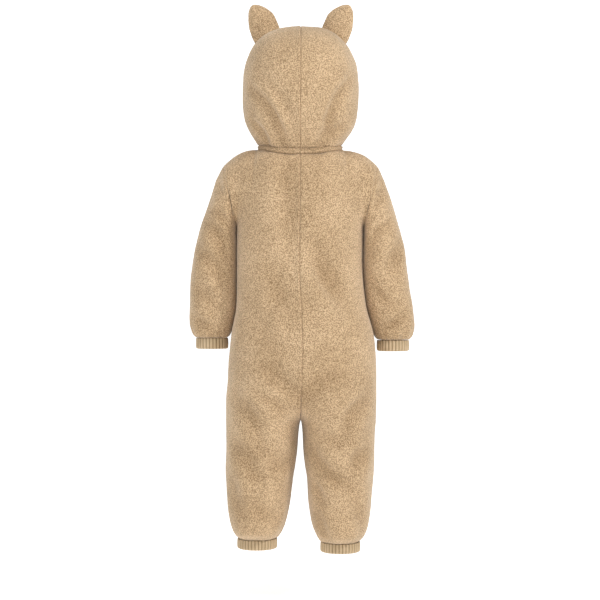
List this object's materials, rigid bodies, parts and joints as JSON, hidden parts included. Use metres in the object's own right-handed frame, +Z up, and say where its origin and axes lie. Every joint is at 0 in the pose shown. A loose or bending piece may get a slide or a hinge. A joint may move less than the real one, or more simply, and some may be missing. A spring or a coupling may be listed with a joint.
{
  "type": "hooded onesie",
  "caption": "Small child's plush onesie as worn: hood with pointed ears, dropped sleeves, legs gathered into ribbed cuffs, and a front zip.",
  "frame": {"origin": "middle of the neck at the level of the shoulders, where the wearer holds the garment up", "axes": "+Z up along the body, +X to the wearer's left, +Y to the back"},
  "size_m": [0.3931, 0.1928, 0.9512],
  "materials": {
    "plush": "short soft pile, matt",
    "rib_knit": "ribbed knit, matt",
    "zip_tape": "woven tape",
    "zip_teeth": "moulded, satin",
    "zip_metal": "satin nickel"
  },
  "bodies": {
    "garment": {"back_left": "plush", "front_left": "plush", "sleeve_left": "plush", "hood_left": "plush", "ear_left_back": "plush", "ear_left_front": "plush", "sleeve_cuff_left": "rib_knit", "leg_cuff_left": "rib_knit", "zip_tape_left": "zip_tape", "back_right": "plush", "front_right": "plush", "sleeve_right": "plush", "hood_right": "plush", "ear_right_back": "plush", "ear_right_front": "plush", "sleeve_cuff_right": "rib_knit", "leg_cuff_right": "rib_knit", "zip_tape_right": "zip_tape", "neck_band": "plush", "zip_chain": "zip_teeth", "zip_slider": "zip_metal"},
    "zip_pull": {"zip_pull": "zip_metal"}
  },
  "joints": [
    {"name": "zip_pull_swing", "type": "hinge", "parent": "garment", "child": "zip_pull", "pos_m": [0.00097, -0.07408, -0.05194], "axis": [-1, 0, 0], "range_deg": [0, 170]}
  ]
}
